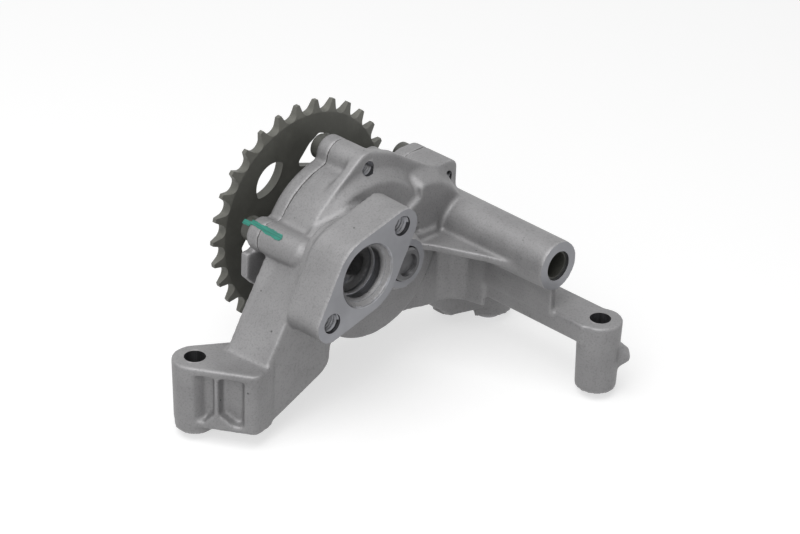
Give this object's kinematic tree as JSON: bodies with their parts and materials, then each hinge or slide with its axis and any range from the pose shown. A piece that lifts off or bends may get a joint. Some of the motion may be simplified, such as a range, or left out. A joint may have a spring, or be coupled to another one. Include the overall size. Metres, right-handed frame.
{
  "type": "engine oil pump",
  "caption": "Chain-driven engine oil pump with a lobed rotor set inside a cast housing, a suction flange, a relief valve tube and mounting feet on cast arms.",
  "frame": {"origin": "where the drive shaft's axis meets the mid-plane of the chain sprocket", "axes": "+Y along the drive shaft, from the suction side out through the sprocket; +Z square to the mounting face, away from the engine block; +X towards the relief valve and the long arm"},
  "size_m": [0.1705, 0.1309, 0.106],
  "materials": {
    "cast_housing": "as cast, with machined faces",
    "cast_cover": "as cast",
    "ground_steel": "ground",
    "sintered_steel": "sintered and ground",
    "dark_steel": "black oxide",
    "bearing_bronze": "machined",
    "spring_steel": "drawn wire",
    "pressed_steel": "phosphated"
  },
  "bodies": {
    "pump_body": {"pump_housing": "cast_housing", "pump_cover": "cast_cover", "housing_bushing": "bearing_bronze", "cover_bushing": "bearing_bronze", "cover_bolts": "dark_steel", "cover_dowels": "ground_steel", "relief_spring": "spring_steel", "relief_cap": "pressed_steel", "mounting_dowel": "ground_steel", "gallery_plug": "pressed_steel"},
    "drive_train": {"drive_shaft": "ground_steel", "inner_rotor": "sintered_steel", "rotor_key": "ground_steel", "drive_sprocket": "dark_steel", "sprocket_bolt": "dark_steel", "sprocket_washer": "dark_steel"},
    "outer_ring": {"outer_rotor": "sintered_steel"},
    "relief_valve": {"relief_piston": "ground_steel"}
  },
  "joints": [
    {"name": "drive_spin", "type": "hinge", "parent": "pump_body", "child": "drive_train", "pos_m": [0, 0, 0], "axis": [0, 1, 0], "continuous": true},
    {"name": "rotor_spin", "type": "hinge", "parent": "pump_body", "child": "outer_ring", "pos_m": [0, -0.028, -0.0035], "axis": [0, 1, 0], "continuous": true},
    {"name": "relief_slide", "type": "slide", "parent": "pump_body", "child": "relief_valve", "axis": [0, -1, 0], "range_m": [0, 0.008], "stiffness_N_per_m": 4100, "springref_m": -0.006, "deforming": ["relief_spring"]}
  ],
  "couplings": [
    {"joint": "rotor_spin", "follows": "drive_spin", "ratio": 0.83333}
  ]
}
